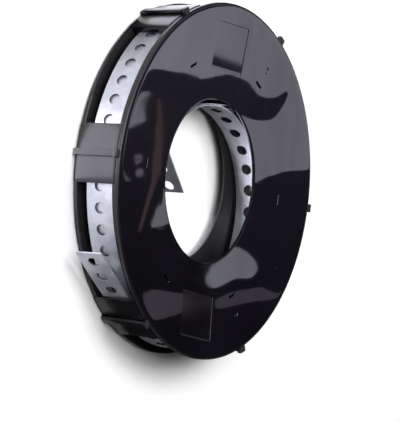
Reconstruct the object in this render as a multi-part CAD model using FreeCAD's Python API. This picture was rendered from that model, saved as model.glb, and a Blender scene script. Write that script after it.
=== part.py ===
import FreeCAD, Part
import math
import os

os.makedirs("parts", exist_ok=True)

# Perforated steel strap wound in a two-piece dispenser case.
# Millimetres. The roll lies on its tray side with its axis upright, so the cover is on top.
# Angles are measured from +Y towards +X, clockwise as seen from above.
# The origin is on the axis, halfway through the case.

# Strap and coil
STRAP_WIDTH = 17.0
STRAP_THICKNESS = 0.8
HOLE_DIAMETER = 6.5
HOLE_PITCH = 12.5
COIL_RADIUS = 96.6
COIL_BORE_RADIUS = 58.3
COIL_BORE_X = 2.2
COIL_BORE_Y = -15.5
TURN_LINES_HIGH = 2
TURN_LINES_LOW = 1
TURN_LINE_WIDTH = 0.5
TURN_LINE_DEPTH = 0.5
OUTER_HOLE_ANGLE = -32.1
INNER_HOLE_ANGLE = 18.6
INNER_HOLE_SPAN = 160.0
HOLE_FLAT = 1.5
HOLE_SIDES = 8
ROUND_HOLES = (1, 2, 3, 4, 9, 10, 34, 35, 42)

# Loose outer end
TAIL_LEAVE_ANGLE = -147.6
TAIL_BEND_RADIUS = 400.0
TAIL_LENGTH = 66.5
TAIL_FIRST_HOLE = 7.5
TAIL_HOLES = 4

# Loose inner end
INNER_BEND_RADIUS = 12.0
INNER_LINE_ANGLE = 142.8
INNER_LINE_OFFSET = 14.3
INNER_END_REACH = 25.0
INNER_FIRST_HOLE = 4.6
INNER_HOLES = 2

# Case
RIM_DEPTH = 5.1
RIM_DRAFT = 1.8
BORE_RADIUS = 46.7
FLANGE_THICKNESS = 1.8
COVER_EDGE = 2.3
DISH_DEPTH = 3.8
COVER_EDGE_FLAT = 3.0
TRAY_EDGE_FLAT = 8.5
EDGE_ROUND = 0.6
STRAP_NEAR_GAP = 1.4
STRAP_FAR_GAP = 0.4
COIL_GAP = 0.3
SKIRT_HEIGHT = 1.6
SKIRT_DEPTH = 1.8

# Rim of the tray: six plates between six windows
CLIP_COUNT = 6
FIRST_CLIP_ANGLE = -21.5
PLATE_HALF_ANGLE = 9.7
PLATE_WALL = 1.2
PLATE_RIB = 1.8
PLATE_PROUD = 0.5
EXIT_PLATE = 4
PLATE_VENT_DEPTH = 5.5
PLATE_VENT_INSET = 0.8
PLATE_VENT_HALF_ANGLE = 8.0

# Clips of the cover
CLIP_WIDTH = 3.8
CLIP_HEIGHT = 2.1
CLIP_BLOCK_LENGTH = 3.0
CLIP_BLOCK_EXTRA = 0.6
HOOK_LENGTH = 1.3
HOOK_GRIP = 1.2
HOOK_FLAT = 1.2
FIT_GAP = 0.3

# Details of the cover face
LABEL_WIDTH = 32.0
LABEL_HEIGHT = 27.0
LABEL_DEPTH = 0.4
LABEL_RADIUS = 76.8
LABEL_ANGLES = (8.5, 188.5)
SLOT_LENGTH = 6.5
SLOT_WIDTH = 1.4
SLOT_RADIUS = 70.5

# Derived sizes
CASE_WIDTH = STRAP_WIDTH + STRAP_NEAR_GAP + STRAP_FAR_GAP + 2 * (FLANGE_THICKNESS + DISH_DEPTH)
HALF = CASE_WIDTH / 2
COVER_RADIUS = COIL_RADIUS + RIM_DEPTH
TRAY_RADIUS = COVER_RADIUS - RIM_DRAFT
PLATE_RADIUS = COVER_RADIUS + PLATE_PROUD
PLATE_FAR_RADIUS = TRAY_RADIUS + PLATE_PROUD
WALL_INNER = COIL_RADIUS + COIL_GAP
STRAP_LOW = STRAP_FAR_GAP + FLANGE_THICKNESS + DISH_DEPTH - HALF
STRAP_HIGH = STRAP_LOW + STRAP_WIDTH
STRAP_MID = (STRAP_LOW + STRAP_HIGH) / 2
PLATE_HIGH = HALF - COVER_EDGE - FIT_GAP
SKIRT_RADIUS = PLATE_RADIUS - PLATE_WALL - FIT_GAP
SKIRT_LOW = HALF - COVER_EDGE - SKIRT_HEIGHT
RIB_HIGH = SKIRT_LOW - FIT_GAP
HOOK_HIGH = -HALF - FIT_GAP
HOOK_LOW = HOOK_HIGH - HOOK_LENGTH
PITCH_ANGLE = 360.0 / CLIP_COUNT
CLIP_ANGLES = [FIRST_CLIP_ANGLE + PITCH_ANGLE * i for i in range(CLIP_COUNT)]
UP = FreeCAD.Vector(0, 0, 1)
DOWN = FreeCAD.Vector(0, 0, -1)
ORIGIN = FreeCAD.Vector(0, 0, 0)


def at(radius, angle, z):
    """Point at a radius, an angle from +Y towards +X, and a height."""
    a = math.radians(angle)
    return FreeCAD.Vector(radius * math.sin(a), radius * math.cos(a), z)


def swept(profile, start=0.0, end=360.0, center=ORIGIN):
    """Solid of a closed (radius, height) outline turned about an upright line through the centre."""
    points = [center + at(r, start, z) for r, z in profile]
    face = Part.Face(Part.makePolygon(points + points[:1]))
    return face.revolve(center, DOWN, end - start)


def bar(profile, angle, width):
    """Straight bar: a closed (radius, height) outline given a width across the angle."""
    side = at(1.0, angle + 90.0, 0.0)
    points = [at(r, angle, z) - side * (width / 2) for r, z in profile]
    face = Part.Face(Part.makePolygon(points + points[:1]))
    return face.extrude(side * width)


def prism(length, width, radius, angle):
    """Tall block above mid-height, long across the angle, centred at a radius and an angle."""
    block = Part.makeBox(length, width, CASE_WIDTH)
    block.translate(FreeCAD.Vector(-length / 2, radius - width / 2, 0))
    block.rotate(ORIGIN, DOWN, angle)
    return block


def flange(rim, side, edge, flat):
    """Dished flange with a flat ring at its rim; side is 1 for the cover and -1 for the tray.

    Only the cover's rim is rounded off, since the hooks grip the tray's square rim.
    """
    slope_start = rim - flat
    outer_bore = HALF - DISH_DEPTH
    profile = [
        (BORE_RADIUS, outer_bore - FLANGE_THICKNESS),
        (slope_start, HALF - edge),
        (rim, HALF - edge),
        (rim, HALF),
        (slope_start, HALF),
        (BORE_RADIUS, outer_bore),
    ]
    if side > 0:
        profile[3:4] = [(rim, HALF - EDGE_ROUND), (rim - EDGE_ROUND, HALF)]
    return swept([(r, side * z) for r, z in profile])


def make_tray():
    """Tray: far flange and the six hollow rim plates, whose ribs stop short of the cover's skirt."""
    parts = [flange(TRAY_RADIUS, -1, FLANGE_THICKNESS, TRAY_EDGE_FLAT)]
    low = -HALF
    draft = (PLATE_RADIUS - PLATE_FAR_RADIUS) / (PLATE_HIGH - low)
    shell = [
        (PLATE_RADIUS - PLATE_WALL, PLATE_HIGH),
        (PLATE_RADIUS, PLATE_HIGH),
        (PLATE_FAR_RADIUS, low),
        (PLATE_FAR_RADIUS - PLATE_WALL, low),
    ]
    rib = [
        (WALL_INNER, RIB_HIGH),
        (PLATE_FAR_RADIUS - PLATE_WALL / 2 + draft * (RIB_HIGH - low), RIB_HIGH),
        (PLATE_FAR_RADIUS - PLATE_WALL / 2, low),
        (WALL_INNER, low),
    ]
    rib_angle = math.degrees(PLATE_RIB / COVER_RADIUS)
    for index, angle in enumerate(CLIP_ANGLES):
        start = angle - PLATE_HALF_ANGLE
        end = angle + PLATE_HALF_ANGLE
        parts.append(swept(shell, start, end))
        parts.append(swept(rib, start, start + rib_angle))
        if index != EXIT_PLATE:
            parts.append(swept(rib, end - rib_angle, end))
    tray = parts[0].multiFuse(parts[1:])
    vent_outer = WALL_INNER + PLATE_VENT_INSET
    vent = [
        (vent_outer - PLATE_VENT_DEPTH, 0.0),
        (vent_outer, 0.0),
        (vent_outer, -CASE_WIDTH),
        (vent_outer - PLATE_VENT_DEPTH, -CASE_WIDTH),
    ]
    vents = []
    for angle in CLIP_ANGLES:
        vents.append(swept(vent, angle - PLATE_VENT_HALF_ANGLE, angle + PLATE_VENT_HALF_ANGLE))
    return tray.cut(vents).removeSplitter()


def make_cover():
    """Cover: near flange with a skirt, label recesses, slots and six clips that hook under the tray."""
    cover = flange(COVER_RADIUS, 1, COVER_EDGE, COVER_EDGE_FLAT)
    skirt = swept([
        (SKIRT_RADIUS - SKIRT_DEPTH, HALF - COVER_EDGE / 2),
        (SKIRT_RADIUS, HALF - COVER_EDGE / 2),
        (SKIRT_RADIUS, SKIRT_LOW),
        (SKIRT_RADIUS - SKIRT_DEPTH, SKIRT_LOW),
    ])
    clip_near = PLATE_RADIUS + FIT_GAP
    clip_far = PLATE_FAR_RADIUS + FIT_GAP
    clip_foot = HALF - COVER_EDGE
    clip_bar = [
        (COVER_RADIUS - 1.0, HALF - 0.4),
        (clip_near + CLIP_HEIGHT, HALF - 0.4),
        (clip_far + CLIP_HEIGHT, -HALF),
        (clip_far + HOOK_FLAT / 2, HOOK_LOW),
        (clip_far - HOOK_FLAT / 2, HOOK_LOW),
        (TRAY_RADIUS - HOOK_GRIP, HOOK_HIGH - HOOK_LENGTH / 2),
        (TRAY_RADIUS - HOOK_GRIP, HOOK_HIGH),
        (clip_far, HOOK_HIGH),
        (clip_near, clip_foot),
        (COVER_RADIUS - 1.0, clip_foot),
    ]
    block_radius = clip_near + CLIP_HEIGHT + CLIP_BLOCK_EXTRA
    block = [
        (COVER_RADIUS - 1.0, HALF - 0.2),
        (block_radius, HALF - 0.2),
        (block_radius, HALF - CLIP_BLOCK_LENGTH),
        (clip_near + 0.2, HALF - CLIP_BLOCK_LENGTH),
        (clip_near + 0.2, clip_foot),
        (COVER_RADIUS - 1.0, clip_foot),
    ]
    clips = []
    for angle in CLIP_ANGLES:
        clips.append(bar(clip_bar, angle, CLIP_WIDTH))
        clips.append(bar(block, angle, CLIP_WIDTH + 0.8))
    cover = cover.multiFuse([skirt] + clips)
    slope_start = COVER_RADIUS - COVER_EDGE_FLAT
    skin = swept([
        (BORE_RADIUS, HALF - DISH_DEPTH - LABEL_DEPTH),
        (slope_start, HALF - LABEL_DEPTH),
        (slope_start, CASE_WIDTH),
        (BORE_RADIUS, CASE_WIDTH),
    ])
    cuts = []
    for angle in LABEL_ANGLES:
        cuts.append(skin.common(prism(LABEL_WIDTH, LABEL_HEIGHT, LABEL_RADIUS, angle)))
    for angle in CLIP_ANGLES:
        cuts.append(prism(SLOT_LENGTH, SLOT_WIDTH, SLOT_RADIUS, angle))
    return cover.cut(cuts).removeSplitter()


def strip(center, radius, start, turn):
    """Strap curved to a centreline radius about a centre, from start through turn degrees."""
    half = STRAP_THICKNESS / 2
    ends = []
    for r in (radius + half, radius - half):
        a = center + at(r, start, STRAP_LOW)
        m = center + at(r, start + turn / 2, STRAP_LOW)
        b = center + at(r, start + turn, STRAP_LOW)
        ends.append((a, m, b))
    wire = Part.Wire(Part.__sortEdges__([
        Part.Arc(*ends[0]).toShape(),
        Part.Arc(*ends[1]).toShape(),
        Part.makeLine(ends[0][0], ends[1][0]),
        Part.makeLine(ends[0][2], ends[1][2]),
    ]))
    return Part.Face(wire).extrude(UP * STRAP_WIDTH)


def drill(point, direction, depth, round_hole):
    """Cutter of one strap hole from a point; a round one is a true circle, the rest have flat sides."""
    if round_hole:
        return Part.makeCylinder(HOLE_DIAMETER / 2, depth, point, direction)
    across = UP.cross(direction)
    corners = []
    for index in range(HOLE_SIDES):
        turn = 2 * math.pi * (index + 0.5) / HOLE_SIDES
        corners.append(point + (UP * math.cos(turn) + across * math.sin(turn)) * (HOLE_DIAMETER / 2))
    return Part.Face(Part.makePolygon(corners + corners[:1])).extrude(direction * depth)


def under_a_plate(angle):
    """True where a plate of the tray hides the whole of a hole at this angle."""
    hole = math.degrees(HOLE_DIAMETER / 2 / COIL_RADIUS)
    for clip in CLIP_ANGLES:
        away = abs((angle - clip + 180.0) % 360.0 - 180.0)
        if away < PLATE_HALF_ANGLE - hole:
            return True
    return False


def turn_hole(center, radius, angle, side, round_hole):
    """Cutters of a hole in a turn: a flat across the strap and a pocket one thickness deep.

    The turn's face is at this radius from the centre, and side is 1 for an outer face, -1 for an inner one.
    """
    chord = HOLE_DIAMETER + HOLE_FLAT
    rise = radius - math.sqrt(radius * radius - chord * chord / 4)
    out = at(1.0, angle, 0) * side
    tip = center + at(radius - side * STRAP_THICKNESS, angle, STRAP_MID)
    pocket = drill(tip, out, 3 * STRAP_THICKNESS, round_hole)
    flat = Part.makeBox(chord, 2.0, STRAP_WIDTH)
    near = radius - rise if side > 0 else radius - 2.0
    flat.translate(FreeCAD.Vector(-chord / 2, near, STRAP_LOW))
    flat.rotate(ORIGIN, DOWN, angle)
    flat.translate(center)
    return [pocket, flat]


def turn_lines(bore_center, count, end, inward):
    """Cutters of the fine lines between turns on one end, from circles that pass evenly from rim to bore."""
    half = TURN_LINE_WIDTH / 2
    cutters = []
    for index in range(1, count + 1):
        t = index / (count + 1)
        radius = COIL_RADIUS + (COIL_BORE_RADIUS - COIL_RADIUS) * t
        cutters.append(swept([
            (radius - half, end),
            (radius + half, end),
            (radius, end + inward * TURN_LINE_DEPTH),
        ], center=bore_center * t))
    return cutters


def make_strap():
    """Strap: one turned coil with an off-centre bore, its loose ends and its holes."""
    half = STRAP_THICKNESS / 2
    lift = FreeCAD.Vector(0, 0, STRAP_LOW)
    coil = Part.makeCylinder(COIL_RADIUS, STRAP_WIDTH, lift, UP)
    bore_center = FreeCAD.Vector(COIL_BORE_X, COIL_BORE_Y, 0)
    bore = Part.makeCylinder(COIL_BORE_RADIUS, STRAP_WIDTH, bore_center + lift, UP)
    high = turn_lines(bore_center, TURN_LINES_HIGH, STRAP_HIGH, -1)
    low = turn_lines(bore_center, TURN_LINES_LOW, STRAP_LOW, 1)
    coil = coil.cut([bore] + high + low)

    # Holes of the outermost and innermost turns; the strap lies flat at each
    cuts = []
    outer_count = int(2 * math.pi * (COIL_RADIUS - half) / HOLE_PITCH)
    for index in range(outer_count):
        angle = OUTER_HOLE_ANGLE - index * 360.0 / outer_count
        if not under_a_plate(angle):
            cuts.extend(turn_hole(ORIGIN, COIL_RADIUS, angle, 1, index in ROUND_HOLES))
    inner_count = int(2 * math.pi * (COIL_BORE_RADIUS + half) / HOLE_PITCH)
    for index in range(inner_count):
        angle = (INNER_HOLE_ANGLE + index * 360.0 / inner_count + 180.0) % 360.0 - 180.0
        if abs(angle) < INNER_HOLE_SPAN / 2:
            cuts.extend(turn_hole(bore_center, COIL_BORE_RADIUS, angle, -1, False))
    coil = coil.cut(cuts)

    # Loose outer end, sprung open to a wider bend
    sink = 0.05
    tail_center = at(COIL_RADIUS - half - sink - TAIL_BEND_RADIUS, TAIL_LEAVE_ANGLE, 0)
    tail_turn = math.degrees(TAIL_LENGTH / TAIL_BEND_RADIUS)
    tail = strip(tail_center, TAIL_BEND_RADIUS, TAIL_LEAVE_ANGLE, tail_turn)
    cuts = []
    for index in range(TAIL_HOLES):
        back = TAIL_FIRST_HOLE + index * HOLE_PITCH
        angle = TAIL_LEAVE_ANGLE + tail_turn - math.degrees(back / TAIL_BEND_RADIUS)
        out = at(1.0, angle, 0)
        point = tail_center + at(TAIL_BEND_RADIUS, angle, STRAP_MID) - out * STRAP_THICKNESS
        cuts.append(drill(point, out, 2 * STRAP_THICKNESS, True))
    tail = tail.cut(cuts)

    # Loose inner end, bent in across the bore: a short bend and a straight run
    line_dir = at(1.0, INNER_LINE_ANGLE, 0)
    normal = at(1.0, INNER_LINE_ANGLE - 90.0, 0)
    side = INNER_BEND_RADIUS - INNER_LINE_OFFSET
    reach = COIL_BORE_RADIUS + half + sink - INNER_BEND_RADIUS
    along = math.sqrt(reach * reach - side * side)
    bend_center = bore_center + normal * side - line_dir * along
    offset = bend_center - bore_center
    leave = math.degrees(math.atan2(offset.x, offset.y))
    turn = (INNER_LINE_ANGLE + 90.0 - leave) % 360.0 - 360.0
    bend = strip(bend_center, INNER_BEND_RADIUS, leave, turn)
    start = bend_center - normal * INNER_BEND_RADIUS
    corners = [
        start + normal * half,
        start - normal * half,
        start - normal * half + line_dir * INNER_END_REACH,
        start + normal * half + line_dir * INNER_END_REACH,
    ]
    corners = [c + lift for c in corners]
    run = Part.Face(Part.makePolygon(corners + corners[:1])).extrude(UP * STRAP_WIDTH)
    cuts = []
    for index in range(INNER_HOLES):
        back = INNER_END_REACH - INNER_FIRST_HOLE - index * HOLE_PITCH
        point = start + line_dir * back + UP * STRAP_MID - normal * STRAP_THICKNESS
        cuts.append(drill(point, normal, 2 * STRAP_THICKNESS, False))
    run = run.cut(cuts)
    return coil.multiFuse([tail, bend, run]).removeSplitter()


NODES = {
    "case_tray": make_tray,
    "case_cover": make_cover,
    "strap": make_strap,
}

for name, make in NODES.items():
    shape = make()
    solids = shape.Solids
    print(name, "solids", len(solids), "valid", shape.isValid(), "volume", round(shape.Volume, 1))
    solids[0].exportStep(os.path.join("parts", name + ".step"))
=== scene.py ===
"""Looks of a perforated steel strap roll: a band of loose turns in a two-piece plastic dispenser case.

Metres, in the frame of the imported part. The roll lies on its tray side, its axis along Z and the cover
on top. Angles are in degrees and run from +Y towards +X, clockwise as seen from above.
"""

import math

import bpy
import numpy as np
from bpy.props import FloatProperty, FloatVectorProperty, IntProperty, PointerProperty
from mathutils import Matrix, Vector


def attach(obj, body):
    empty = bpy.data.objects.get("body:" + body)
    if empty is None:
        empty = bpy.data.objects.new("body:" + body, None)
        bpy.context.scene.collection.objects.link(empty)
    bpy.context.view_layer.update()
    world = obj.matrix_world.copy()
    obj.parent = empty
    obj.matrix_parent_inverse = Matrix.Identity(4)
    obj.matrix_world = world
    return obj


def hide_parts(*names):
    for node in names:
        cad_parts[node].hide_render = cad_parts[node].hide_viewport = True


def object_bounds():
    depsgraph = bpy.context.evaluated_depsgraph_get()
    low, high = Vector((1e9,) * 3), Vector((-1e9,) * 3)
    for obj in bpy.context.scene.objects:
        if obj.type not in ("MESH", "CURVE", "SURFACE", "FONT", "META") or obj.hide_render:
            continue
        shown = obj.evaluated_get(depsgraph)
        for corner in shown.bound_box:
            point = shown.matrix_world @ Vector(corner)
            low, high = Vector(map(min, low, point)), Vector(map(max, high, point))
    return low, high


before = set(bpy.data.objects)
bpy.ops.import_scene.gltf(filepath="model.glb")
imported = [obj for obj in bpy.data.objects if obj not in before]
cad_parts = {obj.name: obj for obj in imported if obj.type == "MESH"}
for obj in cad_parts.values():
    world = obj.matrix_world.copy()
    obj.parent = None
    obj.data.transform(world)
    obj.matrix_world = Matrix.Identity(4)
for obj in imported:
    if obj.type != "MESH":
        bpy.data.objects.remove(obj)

bl_info = {
    "name": "Perforated strap roll",
    "version": (1, 0, 0),
    "blender": (4, 5, 0),
    "location": "View3D > Sidebar > Strap roll",
    "description": "Builds a perforated steel strap roll in its dispenser case, with a small stage",
    "category": "Object",
}

CAD_BOX = [list(corner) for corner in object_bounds()]
MM = 0.001
FLOOR_Z = CAD_BOX[0][2]
STEP = 0.5  # degrees between the upright lines of a turned surface
COLUMNS = int(360 / STEP)
BORE_EDGE = 47.2 * MM  # radius that takes in the rounded edge of the open centre
RING = 20  # points round a hole of the strap, a multiple of four
SIDE = RING // 4
RING_SHARE = 0.45  # how far from the hole to its cell's border the points between them lie
TURN_POINTS = 1400  # points of the band's line in one turn
SINK_FROM = 0.93  # share of the outermost turn after which the band starts to sink from the rim
SLACK_SPAN = (5, 135)  # angles between which the inner turns stand clear
SLACK_EASE = 30  # degrees over which the slack sets in


def size(name, default, words):
    """A length property, stored in metres and given here in millimetres."""
    return FloatProperty(name=name, description=words, default=default * MM, unit="LENGTH", precision=5)


def angle(name, default, words):
    """An angle property in degrees."""
    return FloatProperty(name=name, description=words, default=default)


def colour(name, default, words):
    """A colour property."""
    return FloatVectorProperty(name=name, description=words, default=default, subtype="COLOR", min=0, max=1)


class StrapSizes(bpy.types.PropertyGroup):
    """Sizes of the band and of how it is wound."""

    width: size("Width", 17, "Width of the band")
    thickness: size("Thickness", 0.8, "Thickness of the band")
    low: size("Low edge", -9, "Height of the band's lower edge")
    hole: size("Hole", 6.5, "Diameter of a hole")
    pitch: size("Pitch", 12.5, "Spacing of the holes")
    outer: size("Outer radius", 96.6, "Outside of the outermost turn")
    bore: size("Bore radius", 58.3, "Inside of the innermost turn")
    bore_x: size("Bore X", 2.2, "Where the bore's centre lies along X")
    bore_y: size("Bore Y", -15.5, "Where the bore's centre lies along Y")
    turns: IntProperty(name="Turns", description="Whole turns between the ends", default=20, min=2)
    tight: IntProperty(name="Tight turns", description="Outer turns that lie close", default=4, min=1)
    close: size("Close spacing", 0.84, "Spacing of the turns that lie close together")
    slack: FloatProperty(name="Slack", description="Share of the depth by which the inner turns stand clear",
                         default=0.12, min=0.0, max=0.3)
    tail_leave: angle("Tail leaves at", -147.6, "Angle at which the loose outer end leaves the coil")
    tail_bend: size("Tail bend", 400, "Radius of the loose outer end's bend")
    tail_length: size("Tail length", 66.5, "Length of the loose outer end")
    tail_first: size("Tail first hole", 7.5, "From the outer end to its first hole")
    ring_hole: angle("Ring hole", -32.1, "Angle of one hole of the outermost turn")
    inner_hole: angle("Inner hole", 18.6, "Angle of one hole of the innermost turn")
    bend: size("Inner bend", 12, "Radius of the inner end's bend")
    line_angle: angle("Inner run", 142.8, "Direction of the inner end's straight run")
    line_offset: size("Inner offset", 14.3, "How far the inner run passes from the bore's centre")
    reach: size("Inner reach", 25, "Length of the inner end's straight run")
    inner_first: size("Inner first hole", 4.6, "From the inner end to its first hole")


class CaseSizes(bpy.types.PropertyGroup):
    """Sizes of the two halves of the case."""

    half: size("Half width", 15, "Half of the case's width")
    cover: size("Cover radius", 101.68, "Radius of the cover")
    tray: size("Tray radius", 99.9, "Radius of the tray")
    bore: size("Bore radius", 46.7, "Radius of the open centre")
    wall: size("Wall", 1.8, "Thickness of the flanges")
    cover_edge: size("Cover edge", 2.3, "Height of the cover's rim")
    dish: size("Dish", 3.8, "How far the flanges sink towards the bore")
    cover_flat: size("Cover flat ring", 3, "Width of the flat ring round the cover")
    tray_flat: size("Tray flat ring", 8.5, "Width of the flat ring round the tray")
    edge_round: size("Edge round", 0.6, "Rounding of the cover's rim")
    coil: size("Plate foot", 96.9, "Radius that the plates' ribs reach down to")
    plate_proud: size("Plate proud", 0.5, "How far the plates stand out of the rim")
    plate_wall: size("Plate wall", 1.2, "Thickness of a plate")
    plate_rib: size("Plate rib", 1.8, "Thickness of a plate's ribs")
    plate_half: angle("Plate half angle", 9.7, "Half of the angle that a plate takes")
    first_clip: angle("First clip", -21.5, "Angle of the first clip")
    clips: IntProperty(name="Clips", description="Number of clips and plates", default=6, min=2)
    skirt: size("Skirt", 1.6, "Height of the cover's skirt")
    skirt_depth: size("Skirt depth", 1.8, "Thickness of the cover's skirt")
    fit: size("Fit gap", 0.3, "Gap between cover and tray")
    clip_width: size("Clip width", 3.8, "Width of a clip")
    clip_height: size("Clip height", 2.1, "Thickness of a clip")
    hook: size("Hook", 1.3, "Height of a clip's hook")
    grip: size("Hook grip", 1.2, "How far a hook reaches under the tray")
    label_wide: size("Label width", 32, "Width of a label recess")
    label_high: size("Label height", 27, "Height of a label recess")
    label_deep: size("Label depth", 0.4, "Depth of a label recess")
    label_radius: size("Label radius", 76.8, "Radius of the middle of a label recess")
    label_angle: angle("Label angle", 8.5, "Angle of the first label recess")
    slot_long: size("Slot length", 6.5, "Length of a slot")
    slot_wide: size("Slot width", 1.4, "Width of a slot")
    slot_radius: size("Slot radius", 70.5, "Radius at which the slots lie")
    mark: size("Gate mark", 4.0, "Diameter of a round moulding mark")


class Finishes(bpy.types.PropertyGroup):
    """Colours and gloss."""

    plastic: colour("Plastic", (0.0034, 0.0029, 0.0046), "Colour of the case")
    steel: colour("Steel", (0.64, 0.66, 0.71), "Colour of the strap")
    floor: colour("Floor", (0.95, 0.95, 0.95), "Colour of the floor")


def at(radius, degrees, z=0.0):
    """Points at a radius, an angle from +Y towards +X, and a height; arrays are welcome."""
    a = np.radians(degrees)
    r, a, z = np.broadcast_arrays(np.asarray(radius, float), a, np.asarray(z, float))
    return np.stack([r * np.sin(a), r * np.cos(a), z], axis=-1)


def smooth(t):
    """Smooth step of t from 0 at 0 to 1 at 1."""
    t = np.clip(t, 0, 1)
    return t * t * (3 - 2 * t)


def quads(rows, columns, wrap_rows=False, wrap_columns=False):
    """Corner numbers of the quads of a grid of points, row by row, as a (rows, columns, 4) array."""
    r = np.arange(rows if wrap_rows else rows - 1)
    c = np.arange(columns if wrap_columns else columns - 1)
    r, c = np.meshgrid(r, c, indexing="ij")
    r2, c2 = (r + 1) % rows, (c + 1) % columns
    return np.stack([r * columns + c, r * columns + c2, r2 * columns + c2, r2 * columns + c], axis=-1)


class Shell:
    """Points and faces gathered from several surfaces into one mesh."""

    def __init__(self):
        self.points, self.faces, self.count = [], [], 0

    def add(self, points, faces=()):
        """Adds points and faces that count from the first of these points; returns that first number."""
        first = self.count
        points = np.asarray(points, float).reshape(-1, 3)
        self.points.append(points)
        self.count += len(points)
        self.weld(np.asarray(face) + first for face in faces)
        return first

    def weld(self, faces):
        """Adds faces that use the shell's own point numbers."""
        self.faces.extend(np.asarray(face).tolist() for face in faces)

    def mesh(self, name):
        """A Blender mesh of everything gathered, with its faces turned outwards."""
        mesh = bpy.data.meshes.new(name)
        mesh.from_pydata(np.concatenate(self.points).tolist(), [], self.faces)
        mesh.validate()
        return outward(mesh)


def volume(mesh):
    """Signed volume of a closed mesh, from its triangles."""
    mesh.calc_loop_triangles()
    co = np.empty(len(mesh.vertices) * 3)
    mesh.vertices.foreach_get("co", co)
    tri = np.empty(len(mesh.loop_triangles) * 3, int)
    mesh.loop_triangles.foreach_get("vertices", tri)
    a, b, c = np.moveaxis(co.reshape(-1, 3)[tri.reshape(-1, 3)], 1, 0)
    return np.einsum("ij,ij->i", a, np.cross(b, c)).sum() / 6


def outward(mesh):
    """The closed mesh with its faces turned outwards, where they look inwards."""
    if volume(mesh) < 0:
        mesh.flip_normals()
    mesh.update()
    return mesh


def piece(name, mesh, material, node=None, sharp=35.0):
    """Puts a mesh into the scene as one piece of the part, riding on the part's body."""
    mesh.shade_smooth()
    mesh.set_sharp_from_angle(angle=math.radians(sharp))
    mesh.materials.append(material)
    obj = bpy.data.objects.new(name, mesh)
    bpy.context.scene.collection.objects.link(obj)
    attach(obj, "root")
    if node:
        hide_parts(node)
    return obj


def mark_inner(mesh):
    """Marks the faces that the mould leaves dull: those that look into the case and the tray's bore edge."""
    normal, middle = np.empty(len(mesh.polygons) * 3), np.empty(len(mesh.polygons) * 3)
    mesh.polygons.foreach_get("normal", normal)
    mesh.polygons.foreach_get("center", middle)
    x, y, z = middle.reshape(-1, 3).T
    bore_edge = (z < 0) & (np.hypot(x, y) < BORE_EDGE)
    inner = (normal[2::3] * np.sign(z) < -0.8) | bore_edge
    mesh.attributes.new("inner", "FLOAT", "FACE").data.foreach_set("value", inner.astype(np.float32))
    return mesh


# Materials


def nodes_of(name):
    """A new node material, its tree and its shader."""
    material = bpy.data.materials.new(name)
    material.use_nodes = True
    tree = material.node_tree
    return material, tree, next(n for n in tree.nodes if n.type == "BSDF_PRINCIPLED")


def feed(tree, value, socket):
    """Sets a socket to a number, or links it to another socket."""
    if isinstance(value, bpy.types.NodeSocket):
        tree.links.new(value, socket)
    else:
        socket.default_value = value


def noise(tree, source, scale, detail=2.0, rough=0.5):
    """The value of a noise texture on the given coordinates."""
    node = tree.nodes.new("ShaderNodeTexNoise")
    node.inputs["Scale"].default_value = scale
    node.inputs["Detail"].default_value = detail
    node.inputs["Roughness"].default_value = rough
    tree.links.new(source, node.inputs["Vector"])
    return node.outputs["Fac"]


def ramp(tree, source, low, high, out_low, out_high):
    """A smooth change of a value from one range to another."""
    node = tree.nodes.new("ShaderNodeMapRange")
    node.interpolation_type = "SMOOTHSTEP"
    for socket, value in zip(node.inputs, (source, low, high, out_low, out_high)):
        feed(tree, value, socket)
    return node.outputs["Result"]


def math_node(tree, operation, a, b):
    """A math node of two values, each a socket or a number."""
    node = tree.nodes.new("ShaderNodeMath")
    node.operation = operation
    for socket, value in zip(node.inputs, (a, b)):
        feed(tree, value, socket)
    return node.outputs[0]


def total(tree, *values):
    """The sum of several values."""
    whole = values[0]
    for value in values[1:]:
        whole = math_node(tree, "ADD", whole, value)
    return whole


def product(tree, *values):
    """The product of several values."""
    whole = values[0]
    for value in values[1:]:
        whole = math_node(tree, "MULTIPLY", whole, value)
    return whole


def tint(tree, factor, low, high):
    """A colour between two colours, each a socket or three numbers."""
    node = tree.nodes.new("ShaderNodeMix")
    node.data_type = "RGBA"
    tree.links.new(factor, node.inputs["Factor"])
    for name, value in (("A", low), ("B", high)):
        feed(tree, (*value, 1) if isinstance(value, tuple) else value, node.inputs[name])
    return node.outputs["Result"]


def bump(tree, height, strength, distance, under=None):
    """A bump of a height; under is the bump that it lies on."""
    node = tree.nodes.new("ShaderNodeBump")
    node.inputs["Strength"].default_value = strength
    node.inputs["Distance"].default_value = distance
    tree.links.new(height, node.inputs["Height"])
    if under:
        tree.links.new(under, node.inputs["Normal"])
    return node.outputs["Normal"]


def mapped(tree, source, scale, turn=0.0):
    """Coordinates with a scale on each axis, turned about Z."""
    node = tree.nodes.new("ShaderNodeMapping")
    node.inputs["Scale"].default_value = scale
    node.inputs["Rotation"].default_value = (0, 0, math.radians(turn))
    tree.links.new(source, node.inputs["Vector"])
    return node.outputs["Vector"]


def object_place(tree):
    """The piece's own coordinates."""
    return tree.nodes.new("ShaderNodeTexCoord").outputs["Object"]


def split(tree, source):
    """The three numbers of a vector."""
    node = tree.nodes.new("ShaderNodeSeparateXYZ")
    tree.links.new(source, node.inputs["Vector"])
    return node.outputs


def face_value(tree, name):
    """The value of a mark written on the faces."""
    node = tree.nodes.new("ShaderNodeAttribute")
    node.attribute_name = name
    return node.outputs["Fac"]


def label_floor(tree, place, c, middle):
    """A mask of one label recess of the cover, and how far a point lies across and outwards of its middle."""
    across, along, height = split(tree, mapped(tree, place, (1, 1, 1), middle))
    out = math_node(tree, "SUBTRACT", along, c.label_radius)
    limits = ((across, c.label_wide / 2), (out, c.label_high / 2))
    sides = [math_node(tree, "LESS_THAN", math_node(tree, "ABSOLUTE", v, 0.0), half) for v, half in limits]
    outer = math_node(tree, "GREATER_THAN", height, c.half - c.dish - 0.2 * MM)
    return product(tree, *sides, outer), across, out


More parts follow.
